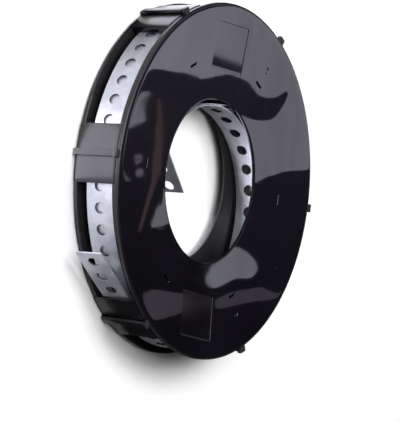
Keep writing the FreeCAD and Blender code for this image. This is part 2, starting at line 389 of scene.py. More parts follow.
def moulded_plastic(colours, c):
    """Glossy black moulded plastic with faint flow marks, hairline scuffs and a little dust.

    It is rougher on the rim, in the label recesses and on the faces marked as inner. The upper label's
    floor bows: its height falls with the square of the distance below a slightly slanting line.
    """
    material, tree, shader = nodes_of("moulded_black_plastic")
    place = object_place(tree)
    base = tuple(colours.plastic)
    cloud = noise(tree, place, 18, 3)
    specks = ramp(tree, noise(tree, place, 900, 1), 0.76, 0.82, 0.0, 0.25)
    body = tint(tree, ramp(tree, cloud, 0.35, 0.7, 0, 1), base, tuple(part * 1.5 for part in base))
    tree.links.new(tint(tree, specks, body, (0.16, 0.155, 0.16)), shader.inputs["Base Color"])

    x, y, _ = split(tree, place)
    radius = math_node(tree, "SQRT", total(tree, product(tree, x, x), product(tree, y, y)), 0.0)
    rim = ramp(tree, radius, c.tray, c.tray + 0.4 * MM, 0.0, 0.26)
    worn = ramp(tree, noise(tree, mapped(tree, place, (30, 700, 30), 25), 1), 0.64, 0.78, 0.0, 0.07)
    upper, across, out = label_floor(tree, place, c, c.label_angle)
    lower, _, _ = label_floor(tree, place, c, c.label_angle + 180)
    labels = product(tree, total(tree, upper, lower), 0.10)
    dull = product(tree, face_value(tree, "inner"), 0.55)
    gloss = ramp(tree, cloud, 0.3, 0.75, 0.025, 0.06)
    tree.links.new(total(tree, gloss, rim, worn, labels, dull), shader.inputs["Roughness"])
    shader.inputs["IOR"].default_value = 1.5

    lean = math_node(tree, "SUBTRACT", total(tree, product(tree, across, 0.12), out), 2 * MM)
    lean = math_node(tree, "MINIMUM", lean, 0.0)
    soft = bump(tree, noise(tree, place, 45), 0.06, 0.0006)
    soft = bump(tree, product(tree, lean, lean, upper, -4.5), 1.0, 1.0, soft)
    tree.links.new(bump(tree, noise(tree, place, 1500), 0.03, 0.00005, soft), shader.inputs["Normal"])
    return material


def galvanised_steel(colours):
    """Bright galvanised strip: rolling streaks along it, a soft zinc bloom, and painted shade: the walls of
    the holes are painted near black.
    """
    material, tree, shader = nodes_of("galvanised_steel")
    place = object_place(tree)
    band = tree.nodes.new("ShaderNodeUVMap")
    band.uv_map = "band"
    base = tuple(colours.steel)
    streak = noise(tree, mapped(tree, band.outputs["UV"], (12, 1600, 1)), 1, 3)
    bloom = noise(tree, place, 120, 3, 0.6)
    mixed = total(tree, product(tree, bloom, 0.7), product(tree, streak, 0.3))
    dark, light = (tuple(min(1, part * k) for part in base) for k in (0.82, 1.08))
    body = tint(tree, ramp(tree, mixed, 0.3, 0.7, 0, 1), dark, light)
    # Painted shade: the walls of the holes, marked cut, are painted near black as the shade inside the holes
    body = tint(tree, face_value(tree, "cut"), body, (0.05, 0.05, 0.058))
    tree.links.new(body, shader.inputs["Base Color"])

    shader.inputs["Metallic"].default_value = 0.8
    cells = tree.nodes.new("ShaderNodeTexVoronoi")
    cells.inputs["Scale"].default_value = 420
    tree.links.new(place, cells.inputs["Vector"])
    grain = tree.nodes.new("ShaderNodeSeparateColor")
    tree.links.new(cells.outputs["Color"], grain.inputs["Color"])
    rough = total(tree, ramp(tree, streak, 0.3, 0.7, 0.34, 0.42), product(tree, grain.outputs["Red"], 0.06))
    tree.links.new(rough, shader.inputs["Roughness"])
    height = total(tree, product(tree, streak, 0.5), product(tree, bloom, 0.5))
    tree.links.new(bump(tree, height, 0.12, 0.00008), shader.inputs["Normal"])
    return material


# The strap


def band_path(s):
    """Centre line of the band from its outer end to its inner end.

    It is an arc of the tail's bend, then a spiral, then a short bend and a straight run. The spiral's
    point at winding angle w is radius(w) in that direction plus t(w) times the bore's middle. t grows from
    0 to 1: the first turns lie close together round the case's axis, the last one is flush with the bore,
    and a few gentle waves and the slack make the turns between uneven. Returns the length along the line,
    its points, and the winding angle there (zero outside the spiral).
    """
    half = s.thickness / 2
    rim, last = s.outer - half - 0.05 * MM, s.bore + half
    bore = np.array([s.bore_x, s.bore_y, 0])
    turn = math.degrees(s.tail_length / s.tail_bend)
    swing = np.linspace(s.tail_leave + turn, s.tail_leave, 140)
    tail = at(rim - s.tail_bend, s.tail_leave) + at(s.tail_bend, swing)

    line, across = at(1.0, s.line_angle), at(1.0, s.line_angle - 90)
    side = s.bend - s.line_offset
    along = math.sqrt((last - s.bend) ** 2 - side * side)
    knee = bore + across * side - line * along
    leave = math.degrees(math.atan2(knee[0] - bore[0], knee[1] - bore[1]))

    end = leave - 360.0 * math.floor((leave - s.tail_leave) / 360.0 + s.turns + 1)
    total_turns = (s.tail_leave - end) / 360.0
    f = np.linspace(0, total_turns, int(total_turns * TURN_POINTS))
    sunk = smooth((f - SINK_FROM) / (1 - SINK_FROM))
    held = np.where(f < SINK_FROM, 0, np.where(f < 1, sunk, f))
    inner = rim - s.close * np.minimum(held, s.tight)
    t = np.clip((held - s.tight) / (total_turns - 1 - s.tight), 0, 1)
    ripple = 0.012 * np.sin(2 * np.pi * f * 0.37 + 1.0) + 0.006 * np.sin(2 * np.pi * f * 0.83)
    t = t + ripple * smooth(4 * t) * smooth(4 * (1 - t))
    winding = s.tail_leave - 360.0 * f
    around = (winding + 180.0) % 360.0 - 180.0
    low, high = SLACK_SPAN
    clear = s.slack * smooth((around - low) / SLACK_EASE) * smooth((high - around) / SLACK_EASE)
    t = np.where(f < total_turns - 1, t * (1 - clear), 1.0)
    radius = inner + (last - (rim - s.close * s.tight)) * t
    coil = at(radius, winding) + bore * t[:, None]

    swing = (s.line_angle + 90.0 - leave) % 360.0 - 360.0
    corner = knee + at(s.bend, np.linspace(leave, leave + swing, 60))
    run = knee - across * s.bend + line * np.linspace(0, s.reach, 40)[:, None]
    points = np.concatenate([tail[:-1], coil[:-1], corner[:-1], run])
    ends = len(corner) - 1 + len(run)
    angles = np.concatenate([np.zeros(len(tail) - 1), winding[:-1], np.zeros(ends)])
    length = np.concatenate([[0], np.cumsum(np.linalg.norm(np.diff(points, axis=0), axis=1))])
    return length, points, angles


def hole_places(s, length, angles):
    """Lengths along the band at which its holes lie.

    They are fixed at both ends, on the two outermost turns, and on the three innermost ones, where the
    row drifts from turn to turn as the bore shows it. Between those groups they are spread evenly.
    """
    coil = np.flatnonzero(angles)

    def at_angle(a):
        return np.interp(-a, -angles[coil], length[coil])

    def step_at(radius):
        return 360.0 / int(2 * math.pi * radius / s.pitch)

    step = step_at(s.outer - s.thickness / 2)
    shown = np.arange(15, -11, -1)  # from 15 holes before the named one to 10 behind it
    ring = s.ring_hole - 360.0 + step * shown
    inner_step = step_at(s.bore + s.thickness / 2)
    last = angles[coil[-1]]
    turns = math.ceil((s.inner_hole - last) / 360.0)
    inner = s.inner_hole - 360.0 * turns + inner_step * np.arange(60, -60, -1)
    # Fixed are the holes of the last 300 degrees, save for the 4 degrees before the bend
    inner = inner[(inner > last + 4) & (inner < last + 300)]
    # The drift is half a step a turn, and fades more than 220 degrees before the last of these holes
    drift = inner_step * np.clip(0.5 - (inner - inner[-1] - 220) / 160, 0.06, 0.5)
    known = [
        s.tail_first + s.pitch * np.arange(4),
        at_angle(ring),
        at_angle(ring - 360.0 + step / 2),
        at_angle(inner + 720.0 + 2 * drift),
        at_angle(inner + 360.0 + drift),
        at_angle(inner),
        length[-1] - s.inner_first - s.pitch * np.arange(1, -1, -1),
    ]
    places = [known[0]]
    for group in known[1:]:
        gap = group[0] - places[-1][-1]
        count = max(1, round(gap / s.pitch))
        places.append(places[-1][-1] + gap * np.arange(1, count) / count)
        places.append(group)
    return np.concatenate(places)


def hole_cells(s, holes, whole):
    """Where the points of the band's cells lie along and across it, as two (cell, ring, point) arrays.

    A cell reaches halfway to the next hole on each side. Ring 0 is the hole's circle, ring 2 the cell's
    rectangle, and ring 1 lies between them.
    """
    edges = np.concatenate([[0], (holes[1:] + holes[:-1]) / 2, [whole]])
    turn = np.radians(-45 + 360.0 / RING * np.arange(RING))
    u = np.linspace(-1, 1, SIDE + 1)[:-1]
    one = np.ones(SIDE)
    square_x = np.concatenate([one, -u, -one, u])
    square_y = np.concatenate([u, one, -u, -one])
    before, after = (holes - edges[:-1])[:, None], (edges[1:] - holes)[:, None]
    circle = [holes[:, None] + s.hole / 2 * np.cos(turn), np.tile(s.hole / 2 * np.sin(turn), (len(holes), 1))]
    border = [holes[:, None] + square_x * np.where(square_x < 0, before, after),
              np.tile(square_y * s.width / 2, (len(holes), 1))]
    return [np.stack([a, a + (b - a) * RING_SHARE, b], axis=1) for a, b in zip(circle, border)]


def carried(s, along, across, length, points):
    """Points of the band's two faces: path(along) plus or minus the normal times half the thickness."""
    tangent = np.gradient(points, length, axis=0)
    tangent /= np.linalg.norm(tangent, axis=1)[:, None]
    px, py, tx, ty = (np.interp(along, length, v) for v in (*points.T[:2], *tangent.T[:2]))
    norm = np.hypot(tx, ty)
    z = s.low + s.width / 2 + across
    halves = (s.thickness / 2, -s.thickness / 2)
    return np.stack([np.stack([px - ty / norm * h, py + tx / norm * h, z], axis=-1) for h in halves], axis=1)


def band_faces(number):
    """The band's quads and a value for each that is 1 on the walls of the holes, which the steel paints near
    black as shade.

    number is a point's number by cell, face of the band, ring and place round the hole. The quads are both
    faces between the rings, the walls of the holes, the band's long edges and its two ends.
    """
    front, back = number[:, 0], number[:, 1]
    front2, back2 = np.roll(front, -1, axis=2), np.roll(back, -1, axis=2)
    faces = []
    for r in (0, 1):
        faces.append(np.stack([front[:, r], front2[:, r], front2[:, r + 1], front[:, r + 1]], axis=-1))
        faces.append(np.stack([back[:, r], back[:, r + 1], back2[:, r + 1], back2[:, r]], axis=-1))
    walls = len(faces)
    faces.append(np.stack([front[:, 0], back[:, 0], back2[:, 0], front2[:, 0]], axis=-1))
    border = np.stack([front[:, 2], front2[:, 2], back2[:, 2], back[:, 2]], axis=-1)
    long_sides = np.concatenate([np.arange(SIDE, 2 * SIDE), np.arange(3 * SIDE, RING)])
    faces += [border[:, long_sides], border[0, 2 * SIDE:3 * SIDE], border[-1, :SIDE]]
    faces = [f.reshape(-1, 4) for f in faces]
    cut = np.concatenate([np.full(len(f), float(n == walls)) for n, f in enumerate(faces)])
    return np.concatenate(faces), cut


def wound_band(s):
    """The whole strap as one closed band: a cell of quads round each hole, carried along the path."""
    length, points, angles = band_path(s)
    holes = hole_places(s, length, angles)
    along, across = hole_cells(s, holes, length[-1])
    co = carried(s, along, across, length, points)
    number = np.arange(co.size // 3).reshape(co.shape[:-1])
    faces, cut = band_faces(number)
    # Neighbouring cells share the points of their common border
    merged = np.arange(number.size)
    merged[number[1:, :, 2, 2 * SIDE:3 * SIDE + 1][:, :, ::-1]] = number[:-1, :, 2, :SIDE + 1]
    faces = merged[faces]
    used, compact = np.unique(faces, return_inverse=True)
    mesh = bpy.data.meshes.new("strap_band")
    mesh.from_pydata(co.reshape(-1, 3)[used].tolist(), [], compact.reshape(faces.shape).tolist())
    place = np.stack([np.broadcast_to(v[:, None], number.shape).ravel() for v in (along, across)], axis=-1)
    corner = np.empty(len(mesh.loops), int)
    mesh.loops.foreach_get("vertex_index", corner)
    uv = mesh.uv_layers.new(name="band")
    uv.data.foreach_set("uv", place[used][corner].astype(np.float32).ravel())
    # cut marks the walls of the holes, which the steel paints near black as painted shade
    mesh.attributes.new("cut", "FLOAT", "FACE").data.foreach_set("value", cut)
    return outward(mesh)


# The case


def columns_of(middle, half):
    """First and last column of a span of angles."""
    return int(round((middle - half) / STEP)), int(round((middle + half) / STEP))


def ring_quads(a, b):
    """Quads between two closed loops of point numbers."""
    return np.stack([a, np.roll(a, -1), np.roll(b, -1), b], axis=-1)


class Flange:
    """One dished flange as a turned surface with openings, recesses and marks let into it.

    Height on the outside is the dish's cone, a flat ring at the rim and a soft bend between them; the
    inside lies one wall below. Both are grids of (radius, angle). side is 1 for the cover, -1 for the tray.
    An opening is (first row, last row, first column, last column, whether it goes through).
    """

    def __init__(self, c, rim, flat, edge, side, radii, rounded):
        self.c, self.rim, self.flat, self.edge, self.side = c, rim, flat, edge, side
        self.radii = np.array([r * MM for r in radii])
        self.rounded = rounded
        self.wave = face_wave(c)
        self.shell = Shell()
        self.openings = []

    def outside(self, r):
        """Height of the outer face."""
        c = self.c
        bend = self.rim - self.flat
        soft = 0.9 * MM
        u = (r - bend) / soft
        eased = np.where(u < -1, r - bend, np.where(u > 1, 0.0, -soft * (1 - u) ** 2 / 4))
        return c.half + c.dish / (bend - c.bore) * eased

    def inside(self, r):
        """Height of the inner face."""
        c = self.c
        t = np.clip((r - c.bore) / (self.rim - self.flat - c.bore), 0, 1)
        return c.half - c.dish - c.wall + t * (c.dish + c.wall - self.edge)

    def build(self):
        """Makes the grids, leaves out the quads under each opening, and closes the rim and the bore."""
        c, r, e = self.c, self.radii, self.rounded
        lip, foot = 0.35 * MM, 0.15 * MM
        top_r = np.concatenate([[c.bore, c.bore + lip * 0.3, c.bore + lip], r])
        top_z = self.outside(top_r)
        top_z[:2] -= np.array([lip, lip * 0.3])
        arc = np.radians([0, 30, 60, 90])
        low = c.half - self.edge
        edge_r = np.concatenate([self.rim - e * (1 - np.sin(arc)), [self.rim, self.rim - foot]])
        edge_z = np.concatenate([c.half - e * (1 - np.cos(arc)), [low + foot, low]])
        loop_r = np.concatenate([top_r, edge_r, r[::-1], [c.bore + lip, c.bore]])
        loop_z = np.concatenate([top_z, edge_z, self.inside(r[::-1]),
                                 [self.inside(c.bore + lip), self.inside(c.bore) + lip]])
        self.top0 = len(top_r) - len(r)
        self.low_last = len(top_r) + len(edge_r) + len(r) - 1
        points = at(loop_r[:, None], np.arange(COLUMNS)[None] * STEP, loop_z[:, None])
        points[..., 2] += self.wave(points[..., 0], points[..., 1])
        points[..., 2] *= self.side
        faces = quads(len(loop_r), COLUMNS, True, True)
        keep = np.ones(faces.shape[:2], bool)
        for k0, k1, j0, j1, through in self.openings:
            cols = np.arange(j0, j1) % COLUMNS
            keep[np.ix_(np.arange(self.top0 + k0, self.top0 + k1), cols)] = False
            if through:
                keep[np.ix_(np.arange(self.low_last - k1, self.low_last - k0), cols)] = False
        self.first = self.shell.add(points, faces[keep])

    def number(self, k, j, low=False):
        """Point number of the outer or inner grid at a radius row and a column."""
        row = self.low_last - k if low else self.top0 + k
        return self.first + row * COLUMNS + np.asarray(j) % COLUMNS

    def border(self, k0, k1, j0, j1):
        """Rows, columns and places from -1 to 1 of the points round an opening, in order."""
        wide, high = j1 - j0, k1 - k0
        ks = np.concatenate([np.full(wide, k0), np.arange(k0, k1), np.full(wide, k1), np.arange(k1, k0, -1)])
        js = np.concatenate([np.arange(j0, j1), np.full(high, j1), np.arange(j1, j0, -1), np.full(high, j0)])
        return ks, js, 2 * (js - j0) / wide - 1, 2 * (ks - k0) / high - 1


def block_shape(xi, eta, half_x, half_y, corner):
    """Square place (xi, eta) carried to a rectangle with round corners, level by level from its middle."""
    level = np.maximum(np.maximum(np.abs(xi), np.abs(eta)), 1e-9)
    x, y = xi * half_x, eta * half_y
    hx, hy, rc = half_x * level, half_y * level, corner * level
    ix, iy = np.clip(x, -(hx - rc), hx - rc), np.clip(y, -(hy - rc), hy - rc)
    dx, dy = x - ix, y - iy
    d = np.maximum(np.hypot(dx, dy), 1e-12)
    pull = np.minimum(1.0, rc / d)
    return ix + dx * pull, iy + dy * pull


def let_in(flange, middle, radius, half_x, half_y, corner, region, profile, through=False):
    """Lets a recess, a mark or a slot into a flange.

    region is (first row, last row, half angle) of the quads that it takes the place of. profile lists
    (inset, drop) from the surface's edge downwards. A slot that goes through joins the outer face's edge
    to the inner face's; anything else gets a floor.
    """
    k0, k1, half_angle = region
    j0, j1 = columns_of(middle, half_angle)
    ks, js, xi, eta = flange.border(k0, k1, j0, j1)
    out, side = at(1.0, middle), at(1.0, middle + 90)
    shell = flange.shell

    def add(inset, drop, xi, eta, low=False):
        x, y = block_shape(xi, eta, half_x - inset, half_y - inset, max(corner - inset, 0.02 * MM))
        p = out * (radius + y)[..., None] + side * x[..., None]
        r = np.hypot(p[..., 0], p[..., 1])
        z = flange.inside(r) if low else flange.outside(r) - drop
        p[..., 2] = (z + flange.wave(p[..., 0], p[..., 1])) * flange.side
        return shell.add(p) + np.arange(len(p))

    edge = flange.number(ks, js)
    for inset, drop in profile:
        loop = add(inset, drop, xi, eta)
        shell.weld(ring_quads(edge, loop))
        edge = loop
    if through:
        loop = add(0.1 * MM, 0, xi, eta, low=True)
        shell.weld(ring_quads(edge, loop))
        shell.weld(ring_quads(loop, flange.number(ks, js, low=True)))
        return
    rows, cols = k1 - k0 + 1, j1 - j0 + 1
    gx, gy = np.meshgrid(np.linspace(-1, 1, cols), np.linspace(-1, 1, rows))
    numbers = add(*profile[-1], gx.ravel(), gy.ravel()).reshape(rows, cols)
    numbers[ks - k0, js - j0] = edge
    shell.weld(numbers.ravel()[quads(rows, cols).reshape(-1, 4)])


def turned(shell, profile, columns=COLUMNS):
    """Adds a ring: a closed (radius, height) outline carried round the axis."""
    profile = np.asarray(profile, float)
    a = np.arange(columns) * (360.0 / columns)
    points = at(profile[:, 0][:, None], a[None], profile[:, 1][:, None])
    shell.add(points, quads(len(profile), columns, True, True).reshape(-1, 4))


def rounded_outline(corners, radius, steps=3):
    """A closed outline with each corner replaced by a short quadratic curve between its two sides."""
    p = np.asarray(corners, float)
    before, after = np.roll(p, 1, axis=0) - p, np.roll(p, -1, axis=0) - p
    lb, la = np.linalg.norm(before, axis=1), np.linalg.norm(after, axis=1)
    r = np.minimum(radius, 0.45 * np.minimum(lb, la))
    a = p + before / lb[:, None] * r[:, None]
    b = p + after / la[:, None] * r[:, None]
    t = np.linspace(0, 1, steps + 1)[None, :, None]
    curve = (1 - t) ** 2 * a[:, None] + 2 * t * (1 - t) * p[:, None] + t ** 2 * b[:, None]
    return curve.reshape(-1, 2)


def bar(shell, outline, middle, width, edge):
    """Adds a bar: a rounded (radius, height) outline carried straight across, narrower at both ends."""
    ring = rounded_outline(outline, 0.35 * MM)
    side, out = at(1.0, middle + 90), at(1.0, middle)
    half, soft = width / 2, edge * 0.3
    stations = [(-half, edge), (-half + soft, soft), (-half + edge, 0),
                (half - edge, 0), (half - soft, soft), (half, edge)]
    tangent = np.roll(ring, -1, axis=0) - np.roll(ring, 1, axis=0)
    normal = np.stack([tangent[:, 1], -tangent[:, 0]], axis=-1)
    normal /= np.maximum(np.linalg.norm(normal, axis=1), 1e-9)[:, None]
    area = np.sum(ring[:, 0] * np.roll(ring[:, 1], -1) - np.roll(ring[:, 0], -1) * ring[:, 1])
    if area < 0:
        normal = -normal
    points = []
    for shift, inset in stations:
        q = ring - normal * inset
        points.append(out * q[:, :1] + side * shift + np.array([0, 0, 1.0]) * q[:, 1:])
    n = len(ring)
    faces = quads(len(stations), n, False, True).reshape(-1, 4)
    first = shell.add(np.concatenate(points), faces)
    shell.weld([first + np.arange(n)[::-1], first + (len(stations) - 1) * n + np.arange(n)])


def plate_shell(shell, c, middle, ribs):
    """Adds one hollow rim plate: a U of outer wall and side ribs, carried up the rim's draft.

    In plan the U's outside and inside are paired point by point, so the wall's thickness closes its ends.
    The ribs stop under the cover's skirt; only the outer wall goes on to the plate's full height. ribs says
    for each side of the plate whether it has its rib.
    """
    span, wall = c.plate_half, c.plate_wall
    rib = math.degrees(c.plate_rib / c.cover)
    corner = 0.5 * MM
    corner_deg = math.degrees(corner / c.cover)
    deep = c.cover + c.plate_proud - c.coil
    a_in = np.linspace(-span + rib, span - (rib if ribs[1] else 0), 13)
    arc = np.radians([0, 30, 60, 90])
    left_a = -span + corner_deg * (1 - np.cos(arc))
    left_d = corner * (1 - np.sin(arc))
    legs = np.array([deep, deep * 0.66, deep * 0.33])
    outer_a = [np.full(3, -span), left_a, a_in[1:-1]]
    outer_d = [legs, left_d, np.zeros(11)]
    inner_a = [np.full(7, -span + rib), a_in[1:-1]]
    inner_d = [legs + [0, 0, wall * 0.5], np.full(15, wall)]
    if ribs[1]:
        outer_a += [-left_a[::-1], np.full(3, span)]
        outer_d += [left_d[::-1], legs[::-1]]
        inner_a += [np.full(7, span - rib)]
        inner_d += [np.full(4, wall), (legs + [0, 0, wall * 0.5])[::-1]]
    else:
        outer_a.append([span])
        outer_d.append([0])
        inner_a.append([span])
        inner_d.append([wall])
    oa, od, ia, idp = (np.concatenate(v) for v in (outer_a, outer_d, inner_a, inner_d))
    top = c.half - c.cover_edge - c.fit
    low = -c.half
    rib_top = top - c.skirt - c.fit
    # Heights of the rows, and how far the outer face is drawn back at each of them
    zs = np.array([low, low + 0.25 * MM, low + 0.6 * MM, 0.0, rib_top, top - 0.5 * MM, top - 0.15 * MM, top])
    ease = np.array([0.35, 0.1, 0, 0, 0, 0, 0.08, 0.3]) * MM
    # The face leans out from the tray's rim to the cover's, and the ribs' feet lie on one circle
    far, near = c.tray + c.plate_proud, c.cover + c.plate_proud
    face = (far + (near - far) * (zs - low) / (top - low))[:, None]
    high = (zs > rib_top + 1e-6)[:, None]
    reach = face - od - np.where(od < deep * 0.3, ease[:, None], 0)
    reach = np.where(od > deep * 0.9, c.coil, reach)
    under = np.where(idp > deep * 0.9, c.coil, face - idp)
    # Above the ribs only the outer wall goes on
    reach = np.where(high, np.maximum(reach, face - wall * 0.98), reach)
    under = np.where(high, np.maximum(under, face - wall), under)
    outer_row = at(reach, (middle + oa)[None], zs[:, None])
    inner_row = at(under, (middle + ia)[None], zs[:, None])
    rows, cols = len(zs), len(oa)
    first = shell.add(outer_row, quads(rows, cols).reshape(-1, 4))
    second = shell.add(inner_row, quads(rows, cols).reshape(-1, 4)[:, ::-1])
    o = first + np.arange(rows * cols).reshape(rows, cols)
    i = second + np.arange(rows * cols).reshape(rows, cols)
    # The wall's thickness at the bottom, at the top and at both ends of the U
    shell.weld(np.stack([o[0, 1:], o[0, :-1], i[0, :-1], i[0, 1:]], axis=-1))
    shell.weld(np.stack([o[-1, :-1], o[-1, 1:], i[-1, 1:], i[-1, :-1]], axis=-1))
    shell.weld(np.stack([o[:-1, 0], o[1:, 0], i[1:, 0], i[:-1, 0]], axis=-1))
    shell.weld(np.stack([o[1:, -1], o[:-1, -1], i[:-1, -1], i[1:, -1]], axis=-1))


def face_wave(c):
    """Height of the gentle waves of a moulded flange, zero at its rim and its bore and never upwards."""

    def wave(x, y):
        r = np.hypot(x, y)
        u, v = x / c.cover, y / c.cover
        w = (np.sin(5.1 * u + 1.3 * v + 0.4) + np.sin(2.3 * u - 5.7 * v + 2.0)
             + 0.6 * np.sin(8.2 * u + 6.5 * v) + 0.5 * np.sin(11 * v - 3 * u + 1.0)) / 3.1
        mask = smooth((r - c.bore) / (9 * MM)) * smooth((c.tray - c.cover_flat - r) / (9 * MM))
        return -0.06 * MM * (w + 1) / 2 * mask

    return wave


# Radius rows of the flanges' grids in millimetres; recesses, slots, marks and openings end on such rows
RADII = [47.6, 48.6, 50.5, 53, 56, 59, 61.5, 64, 66.5, 68.5, 69.5, 70.5, 71.5, 72.5, 75, 78.3, 79.8, 81.3,
         82.8, 84.3, 86.5, 89, 92.1, 93.6, 95.0, 96.4, 97.4]
COVER_RADII = RADII + [98.2, 98.7, 99.2, 99.8, 100.4]
TRAY_RADII = [r for r in RADII if r < 91] + [91.4, 92.2, 94.0, 96.0, 97.7, 98.6]
MARKS = ((38.5, 81.3), (158.5, 81.3))  # angle and radius of the round moulding marks
VENT_ROWS = (92.2, 97.7)  # the openings under the plates lie between these rows
VENT_HALF = 8  # half of the angle that such an opening takes
OPEN_PLATE = 4  # the plate that lacks a rib on the side where the tail leaves


def row(radius):
    """Number of the radius row nearest to a radius in millimetres."""
    return int(np.argmin(np.abs(np.array(RADII) - radius)))


def clip_angles(c):
    """Angles of the clips, which are also those of the slots and the plates."""
    return [c.first_clip + 360.0 / c.clips * i for i in range(c.clips)]


def cover_cuts(c):
    """What let_in needs for the label recesses, the slots and the marks of the cover."""
    cuts = []
    profile = [(0, 0), (0.06 * MM, 0.05 * MM), (0.12 * MM, c.label_deep * 0.8), (0.3 * MM, c.label_deep)]
    for a in (c.label_angle, c.label_angle + 180):
        cuts.append((a, c.label_radius, c.label_wide / 2, c.label_high / 2, 1.2 * MM,
                     (row(61.5), row(92.1), 17.0), profile, False))
    profile = [(-0.15 * MM, 0), (0, 0.12 * MM)]
    for a in clip_angles(c):
        cuts.append((a, c.slot_radius, c.slot_long / 2, c.slot_wide / 2, 0.5 * MM,
                     (row(68.5), row(72.5), 4.0), profile, True))
    profile = [(0, 0), (0.25 * MM, 0.22 * MM), (0.7 * MM, 0.36 * MM)]
    for a, radius in MARKS:
        cuts.append((a, radius * MM, c.mark / 2, c.mark / 2, c.mark / 2,
                     (row(78.3), row(84.3), 2.5), profile, False))
    return cuts


def add_clips(shell, c):
    """Adds the six clips: a bar that runs across the rim with its hook, and a stouter block at its root."""
    near = c.cover + c.plate_proud + c.fit
    far = c.tray + c.plate_proud + c.fit
    root, foot = c.cover - 1.0 * MM, c.half - c.cover_edge
    hook = -c.half - c.fit
    low = hook - c.hook
    outline = [(root, c.half - 0.4 * MM), (near + c.clip_height, c.half - 0.4 * MM),
               (far + c.clip_height, -c.half), (far + 0.6 * MM, low), (far - 0.6 * MM, low),
               (c.tray - c.grip, hook - c.hook / 2), (c.tray - c.grip, hook), (far, hook), (near, foot),
               (root, foot)]
    top, under = near + c.clip_height + 0.6 * MM, c.half - 3.0 * MM
    block = [(root, c.half - 0.2 * MM), (top, c.half - 0.2 * MM), (top, under), (near + 0.2 * MM, under),
             (near + 0.2 * MM, foot), (root, foot)]
    for a in clip_angles(c):
        bar(shell, outline, a, c.clip_width, 0.3 * MM)
        bar(shell, block, a, c.clip_width + 0.8 * MM, 0.3 * MM)


def cover_mesh(c):
    """The cover: dished flange with label recesses, slots, marks, a skirt and six clips."""
    flange = Flange(c, c.cover, c.cover_flat, c.cover_edge, 1, COVER_RADII, c.edge_round)
    cuts = cover_cuts(c)
    for middle, *_, (k0, k1, half), _, through in cuts:
        flange.openings.append((k0, k1, *columns_of(middle, half), through))
    flange.build()
    for cut in cuts:
        let_in(flange, *cut)
    skirt = c.cover + c.plate_proud + c.fit - c.plate_wall - 2 * c.fit
    back, foot = skirt - c.skirt_depth, c.half - c.cover_edge
    low, high = foot - c.skirt, foot + 0.3 * MM
    corners = [(back, high), (skirt, high), (skirt, low), (back, low)]
    turned(flange.shell, rounded_outline(corners, 0.2 * MM))
    add_clips(flange.shell, c)
    return mark_inner(flange.shell.mesh("case_cover"))


def tray_mesh(c):
    """The tray: dished flange with moulding openings and six hollow plates."""
    flange = Flange(c, c.tray, c.tray_flat, c.wall, -1, TRAY_RADII, 0.3 * MM)
    rows = [TRAY_RADII.index(r) for r in VENT_ROWS]
    for a in clip_angles(c):
        flange.openings.append((*rows, *columns_of(a, VENT_HALF), True))
    flange.build()
    for *region, _ in flange.openings:
        ks, js, _, _ = flange.border(*region)
        flange.shell.weld(ring_quads(flange.number(ks, js), flange.number(ks, js, low=True)))
    for i, a in enumerate(clip_angles(c)):
        plate_shell(flange.shell, c, a, (True, i != OPEN_PLATE))
    return mark_inner(flange.shell.mesh("case_tray"))


# Operators


def case_plastic(scene):
    """The plastic of both halves of the case, made once."""
    made = bpy.data.materials.get("moulded_black_plastic")
    return made or moulded_plastic(scene.roll_finishes, scene.case_sizes)


class ROLL_OT_strap(bpy.types.Operator):
    """Wind the perforated band with its two loose ends"""

    bl_idname = "strap_roll.wind_strap"
    bl_label = "Wind the strap"

    def execute(self, context):
        scene = context.scene
        mesh = wound_band(scene.strap_sizes)
        piece("strap_band", mesh, galvanised_steel(scene.roll_finishes), "strap", 40.0)
        return {"FINISHED"}


class ROLL_OT_cover(bpy.types.Operator):
    """Mould the cover with its recesses, slots and clips"""

    bl_idname = "strap_roll.mould_cover"
    bl_label = "Mould the cover"

    def execute(self, context):
        scene = context.scene
        mesh = cover_mesh(scene.case_sizes)
        piece("cover_moulding", mesh, case_plastic(scene), "case_cover")
        return {"FINISHED"}


class ROLL_OT_tray(bpy.types.Operator):
    """Mould the tray with its plates and openings"""

    bl_idname = "strap_roll.mould_tray"
    bl_label = "Mould the tray"

    def execute(self, context):
        scene = context.scene
        mesh = tray_mesh(scene.case_sizes)
        piece("tray_moulding", mesh, case_plastic(scene), "case_tray")
        return {"FINISHED"}


# The stage


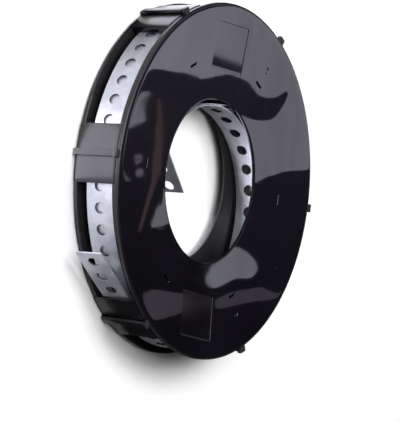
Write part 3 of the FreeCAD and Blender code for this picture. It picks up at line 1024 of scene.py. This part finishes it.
# Reflector cards over the cover: outline on the card plane in millimetres, strength, colour
COVER_CARDS = {
    "card_high": ([(-44, 4), (-43, 6), (-41, 19), (-40, 33), (-39, 44), (-36, 50), (-35, 54), (-31, 56),
                   (-22, 54), (-17, 53), (-13, 50), (-12, 50), (-10, 52), (-6, 55), (-2, 54), (2, 53),
                   (4, 49), (7, 46), (15, 47), (19, 51), (21, 52), (21.5, 50), (20, 45), (17, 39),
                   (14, 35), (8, 33), (3, 33), (-1, 34), (-2, 31), (0, 24), (1, 17), (2, 9), (3, 1),
                   (7, 1), (11, 4), (17, 6), (22, 8), (31, 9), (45, 11), (50, 30), (45, 60), (30, 85),
                   (14, 100), (-5, 104), (-22, 98), (-33, 88), (-39, 69), (-43, 46), (-45, 20)],
                  1.85, (0.93, 0.92, 1.08)),
    "card_low": ([(-2, -31), (2, -33), (5, -36), (9, -41), (10, -45), (9, -48), (6, -50), (2, -49), (-1, -49),
                  (-4, -51), (-7, -53), (-9, -53), (-10, -50), (-10, -47), (-9, -43), (-8, -40), (-6, -35),
                  (-4, -32)], 1.75, (0.92, 0.94, 1.05)),
    "card_left": ([(-38, 30), (-37, 35), (-35, 40), (-33, 43), (-31, 44), (-29.5, 42), (-31, 40), (-31, 36),
                   (-30, 32), (-28.5, 28), (-30.5, 28), (-33, 26), (-35, 24), (-37, 26)],
                  1.4, (0.92, 0.93, 1.08)),
    "card_bore": ([(-14, -2), (-13, -9), (-12, -15), (-12, -19), (-14, -20), (-18, -22), (-23, -24),
                   (-20, -17), (-16, -10)], 1.25, (0.93, 0.93, 1.05)),
    "card_warm": ([(-26, 40), (-24, 40), (-21, 32), (-18, 23), (-16.5, 14), (-16, 3), (-19, -6), (-23, -15),
                   (-27, -24), (-30, -28), (-27, -20), (-23, -10), (-20.5, -1), (-20.5, 14), (-23, 29)],
                  0.42, (1.0, 0.62, 0.64)),
    "card_spot_high": ([(-32, 11), (-30, 12), (-27, 12), (-26, 9), (-28, 7), (-30, 6)],
                       0.75, (0.95, 0.85, 1.1)),
    "card_spot_low": ([(-29, 4), (-27, 5), (-25, 4), (-25, 1), (-28, 0), (-30, 2)], 0.9, (0.95, 0.85, 1.1)),
    "card_streak": ([(-38, 4), (-37, 4), (-32, -2), (-34, -2)], 0.8, (0.95, 0.88, 1.1)),
    "card_band_left": ([(-31, -56), (-25, -55), (-20, -56), (-15, -56), (-15, -60), (-17, -66), (-23, -69),
                        (-32, -73), (-36, -70)], 0.4, (1.0, 0.85, 1.05)),
    "card_band_right": ([(-8, -60), (-5, -58), (0, -56), (6, -56), (12, -55), (16, -58), (21, -60), (26, -60),
                         (29, -62), (13, -63), (0, -64), (-8, -66)], 0.42, (0.98, 0.92, 1.08)),
}
WIDE_CARD = [(-120, -130), (120, -130), (120, 130), (-120, 130)]

# The cards' plane: its directions across and up, the one out to it, and how far out it lies
CARD_AXES = (Vector((0.5388, 0.0, -0.8424)), Vector((0.0253, 0.9995, 0.0162)),
             Vector((0.8420, -0.0300, 0.5385)))
CARD_REACH = 125 * MM
CARD_RUN = 70 * MM  # half of the length over which a card over the cover changes in strength

# Cards on the floor: outline in millimetres, axis of the gradient, its ends in millimetres, strength at each
FLOOR_CARDS = {
    "card_plate": ([(-101, -1), (-160, -1), (-160, 55), (-101, 50)], "Y", (0, 40), (4.8, 4.8)),
    "card_plate_high": ([(-41, 100), (-45, 150), (40, 150), (30, 102), (0, 104)],
                        "Y", (100, 150), (3.4, 2.8)),
    "card_window_high": ([(-42, 88), (-75, 60), (-101, 50), (-125, 62), (-100, 110), (-45, 125)],
                         "X", (-98, -45), (1.3, 0.05)),
    "card_window_low": ([(-97, -2), (-150, -2), (-150, -60), (-105, -100), (-84, -62), (-97, -30)],
                        "Y", (-65, -5), (0.6, 1.4)),
    "card_dark": ([(-85, -64), (-104, -101), (-110, -160), (60, -180), (80, -100), (0, -104), (-60, -90)],
                  "Y", (-100, 0), (0.02, 0.02)),
    "card_bore_right": ([(2, -9), (33, -9), (38, -20), (50, -22), (52, -44), (2, -44)],
                        "Y", (-44, -9), (5.0, 5.0)),
    "card_bore_high": ([(2, -8.5), (33.5, -8.5), (38.5, -19.5), (62, -21.5), (62, 0), (50, 30), (30, 44),
                        (2, 40)], "Y", (-44, 40), (0.02, 0.02)),
    "card_bore_left": ([(-46, -10), (-12, -10), (2, -44), (-30, -46)], "Y", (-46, 0), (0.08, 0.12)),
}


# The camera fitted to the photo: its directions right, down and forward, how far along each of them the
# middle of the cover's face lies in units of the cover's radius, and its focal length in pixels
CAMERA_AXES = (Vector((0.53931, 0.04699, 0.84079)), Vector((0.0, -0.99844, 0.05580)),
               Vector((0.84210, -0.03009, -0.53847)))
CAMERA_OFFSETS = (0.08895, -0.1662, 44.7004)
CAMERA_UNIT = 101.7 * MM
FACE_Z = 15 * MM
FOCAL = 8000
PHOTO_HEIGHT = 422
SENSOR = 36.0
FLOOR_HALF = 4.0


def glow(name, low, high, shade, start, end, axis):
    """A card's material: faintly streaked light that changes evenly along one axis of the card."""
    material, tree, shader = nodes_of(name)
    tree.nodes.remove(shader)
    light = tree.nodes.new("ShaderNodeEmission")
    light.inputs["Color"].default_value = (*shade, 1)
    place = object_place(tree)
    even = ramp(tree, split(tree, place)[axis], start, end, low, high)
    streak = noise(tree, mapped(tree, place, (160, 18, 160)), 1)
    tree.links.new(product(tree, even, ramp(tree, streak, 0.3, 0.7, 0.93, 1.05)), light.inputs["Strength"])
    output = next(n for n in tree.nodes if n.type == "OUTPUT_MATERIAL")
    tree.links.new(light.outputs["Emission"], output.inputs["Surface"])
    return material


def card(name, corners, material, cuts=0):
    """A flat card that only reflections see; each cut takes the corners off at a quarter of the sides."""
    outline = np.array([tuple(c) for c in corners])
    for _ in range(cuts):
        after = np.roll(outline, -1, axis=0)
        pairs = (0.75 * outline + 0.25 * after, 0.25 * outline + 0.75 * after)
        outline = np.stack(pairs, axis=1).reshape(-1, 3)
    mesh = bpy.data.meshes.new(name)
    mesh.from_pydata(outline.tolist(), [], [tuple(range(len(outline)))])
    mesh.materials.append(material)
    obj = bpy.data.objects.new(name, mesh)
    bpy.context.scene.collection.objects.link(obj)
    obj.visible_camera = obj.visible_diffuse = obj.visible_shadow = False
    obj.visible_transmission = obj.visible_volume_scatter = False


def hang_cards():
    """Hangs the cards over the cover, the wide dim one behind them, and lays those on the floor."""
    across, up, out = CARD_AXES

    def hang(name, outline, low, high, shade, reach):
        corners = [out * reach + across * a * MM + up * b * MM for a, b in outline]
        card(name, corners, glow(name, low, high, shade, -CARD_RUN, CARD_RUN, "Y"), 2)

    for name, (outline, strength, shade) in COVER_CARDS.items():
        hang(name, outline, strength, strength * 0.95, shade, CARD_REACH)
    hang("card_wide", WIDE_CARD, 0.01, 0.114, (0.85, 0.78, 1.0), CARD_REACH * 1.02)
    for name, (outline, axis, ends, (low, high)) in FLOOR_CARDS.items():
        corners = [(a * MM, b * MM, FLOOR_Z + 0.2 * MM) for a, b in outline]
        card(name, corners, glow(name, low, high, (0.94, 0.93, 1.04), ends[0] * MM, ends[1] * MM, axis))


def softbox(name, spot, wide, power, sheen=False):
    """A large square lamp aimed at the roll; a sheen lamp lights only what shines."""
    data = bpy.data.lights.new(name, "AREA")
    data.size, data.energy = wide, power
    lamp = bpy.data.objects.new(name, data)
    lamp.location = spot
    lamp.visible_diffuse = not sheen
    lamp.rotation_euler = (-Vector(spot)).to_track_quat("-Z", "Y").to_euler()
    bpy.context.scene.collection.objects.link(lamp)


def lay_floor(scene):
    """Lays the pale, matt floor under the roll."""
    material, tree, shader = nodes_of("pale_floor")
    base = tuple(scene.roll_finishes.floor)
    body = tint(tree, noise(tree, object_place(tree), 6), tuple(part * 0.99 for part in base), base)
    tree.links.new(body, shader.inputs["Base Color"])
    shader.inputs["Roughness"].default_value = 0.9
    mesh = bpy.data.meshes.new("floor")
    corners = [(x * FLOOR_HALF, y * FLOOR_HALF, FLOOR_Z) for x, y in ((-1, -1), (1, -1), (1, 1), (-1, 1))]
    mesh.from_pydata(corners, [], [(0, 1, 2, 3)])
    mesh.materials.append(material)
    floor = bpy.data.objects.new("floor", mesh)
    scene.collection.objects.link(floor)


def dim_room(scene):
    """Gives the scene a dim, even surrounding light."""
    world = bpy.data.worlds.new("dim_room")
    world.use_nodes = True
    background = world.node_tree.nodes["Background"]
    background.inputs["Color"].default_value = (0.9, 0.88, 1.0, 1)
    background.inputs["Strength"].default_value = 0.03
    scene.world = world


def place_camera(scene):
    """Sets up the camera with the long lens that was fitted to the photo."""
    right, down, forward = CAMERA_AXES
    away = right * CAMERA_OFFSETS[0] + down * CAMERA_OFFSETS[1] + forward * CAMERA_OFFSETS[2]
    data = bpy.data.cameras.new("camera")
    data.sensor_width = SENSOR
    data.lens = FOCAL / PHOTO_HEIGHT * SENSOR
    data.clip_start, data.clip_end = 0.1, 50
    camera = bpy.data.objects.new("camera", data)
    turn = Matrix((right, -down, -forward)).transposed()
    camera.matrix_world = Matrix.Translation(Vector((0, 0, FACE_Z)) - away * CAMERA_UNIT) @ turn.to_4x4()
    scene.collection.objects.link(camera)
    scene.camera = camera


class ROLL_OT_stage(bpy.types.Operator):
    """Set the floor, the soft light, the reflector cards and the camera"""

    bl_idname = "strap_roll.set_stage"
    bl_label = "Set the stage"

    def execute(self, context):
        scene = context.scene
        scene.view_settings.view_transform = "Standard"
        lay_floor(scene)
        dim_room(scene)
        softbox("lamp_left", (-0.95, 0.55, 1.6), 1.4, 36)
        softbox("lamp_high", (0.25, 0.75, 1.8), 1.3, 26)
        softbox("lamp_sheen", (-1.55, 0.55, 0.75), 0.8, 14, True)
        hang_cards()
        place_camera(scene)
        return {"FINISHED"}


class ROLL_PT_panel(bpy.types.Panel):
    """Lists the operators in the order in which they are run"""

    bl_label = "Strap roll"
    bl_idname = "ROLL_PT_panel"
    bl_space_type = "VIEW_3D"
    bl_region_type = "UI"
    bl_category = "Strap roll"

    def draw(self, context):
        for operator in OPERATORS:
            self.layout.operator(operator.bl_idname)


OPERATORS = (ROLL_OT_strap, ROLL_OT_cover, ROLL_OT_tray, ROLL_OT_stage)
CLASSES = (StrapSizes, CaseSizes, Finishes, *OPERATORS, ROLL_PT_panel)


def register():
    """Registers the classes and their settings."""
    for cls in CLASSES:
        bpy.utils.register_class(cls)
    bpy.types.Scene.strap_sizes = PointerProperty(type=StrapSizes)
    bpy.types.Scene.case_sizes = PointerProperty(type=CaseSizes)
    bpy.types.Scene.roll_finishes = PointerProperty(type=Finishes)


def unregister():
    """Takes the classes and their settings away again."""
    del bpy.types.Scene.roll_finishes
    del bpy.types.Scene.case_sizes
    del bpy.types.Scene.strap_sizes
    for cls in reversed(CLASSES):
        bpy.utils.unregister_class(cls)


def main():
    """Builds the roll and its stage."""
    register()
    bpy.ops.strap_roll.wind_strap()
    bpy.ops.strap_roll.mould_cover()
    bpy.ops.strap_roll.mould_tray()
    bpy.ops.strap_roll.set_stage()


if __name__ == "__main__":
    main()
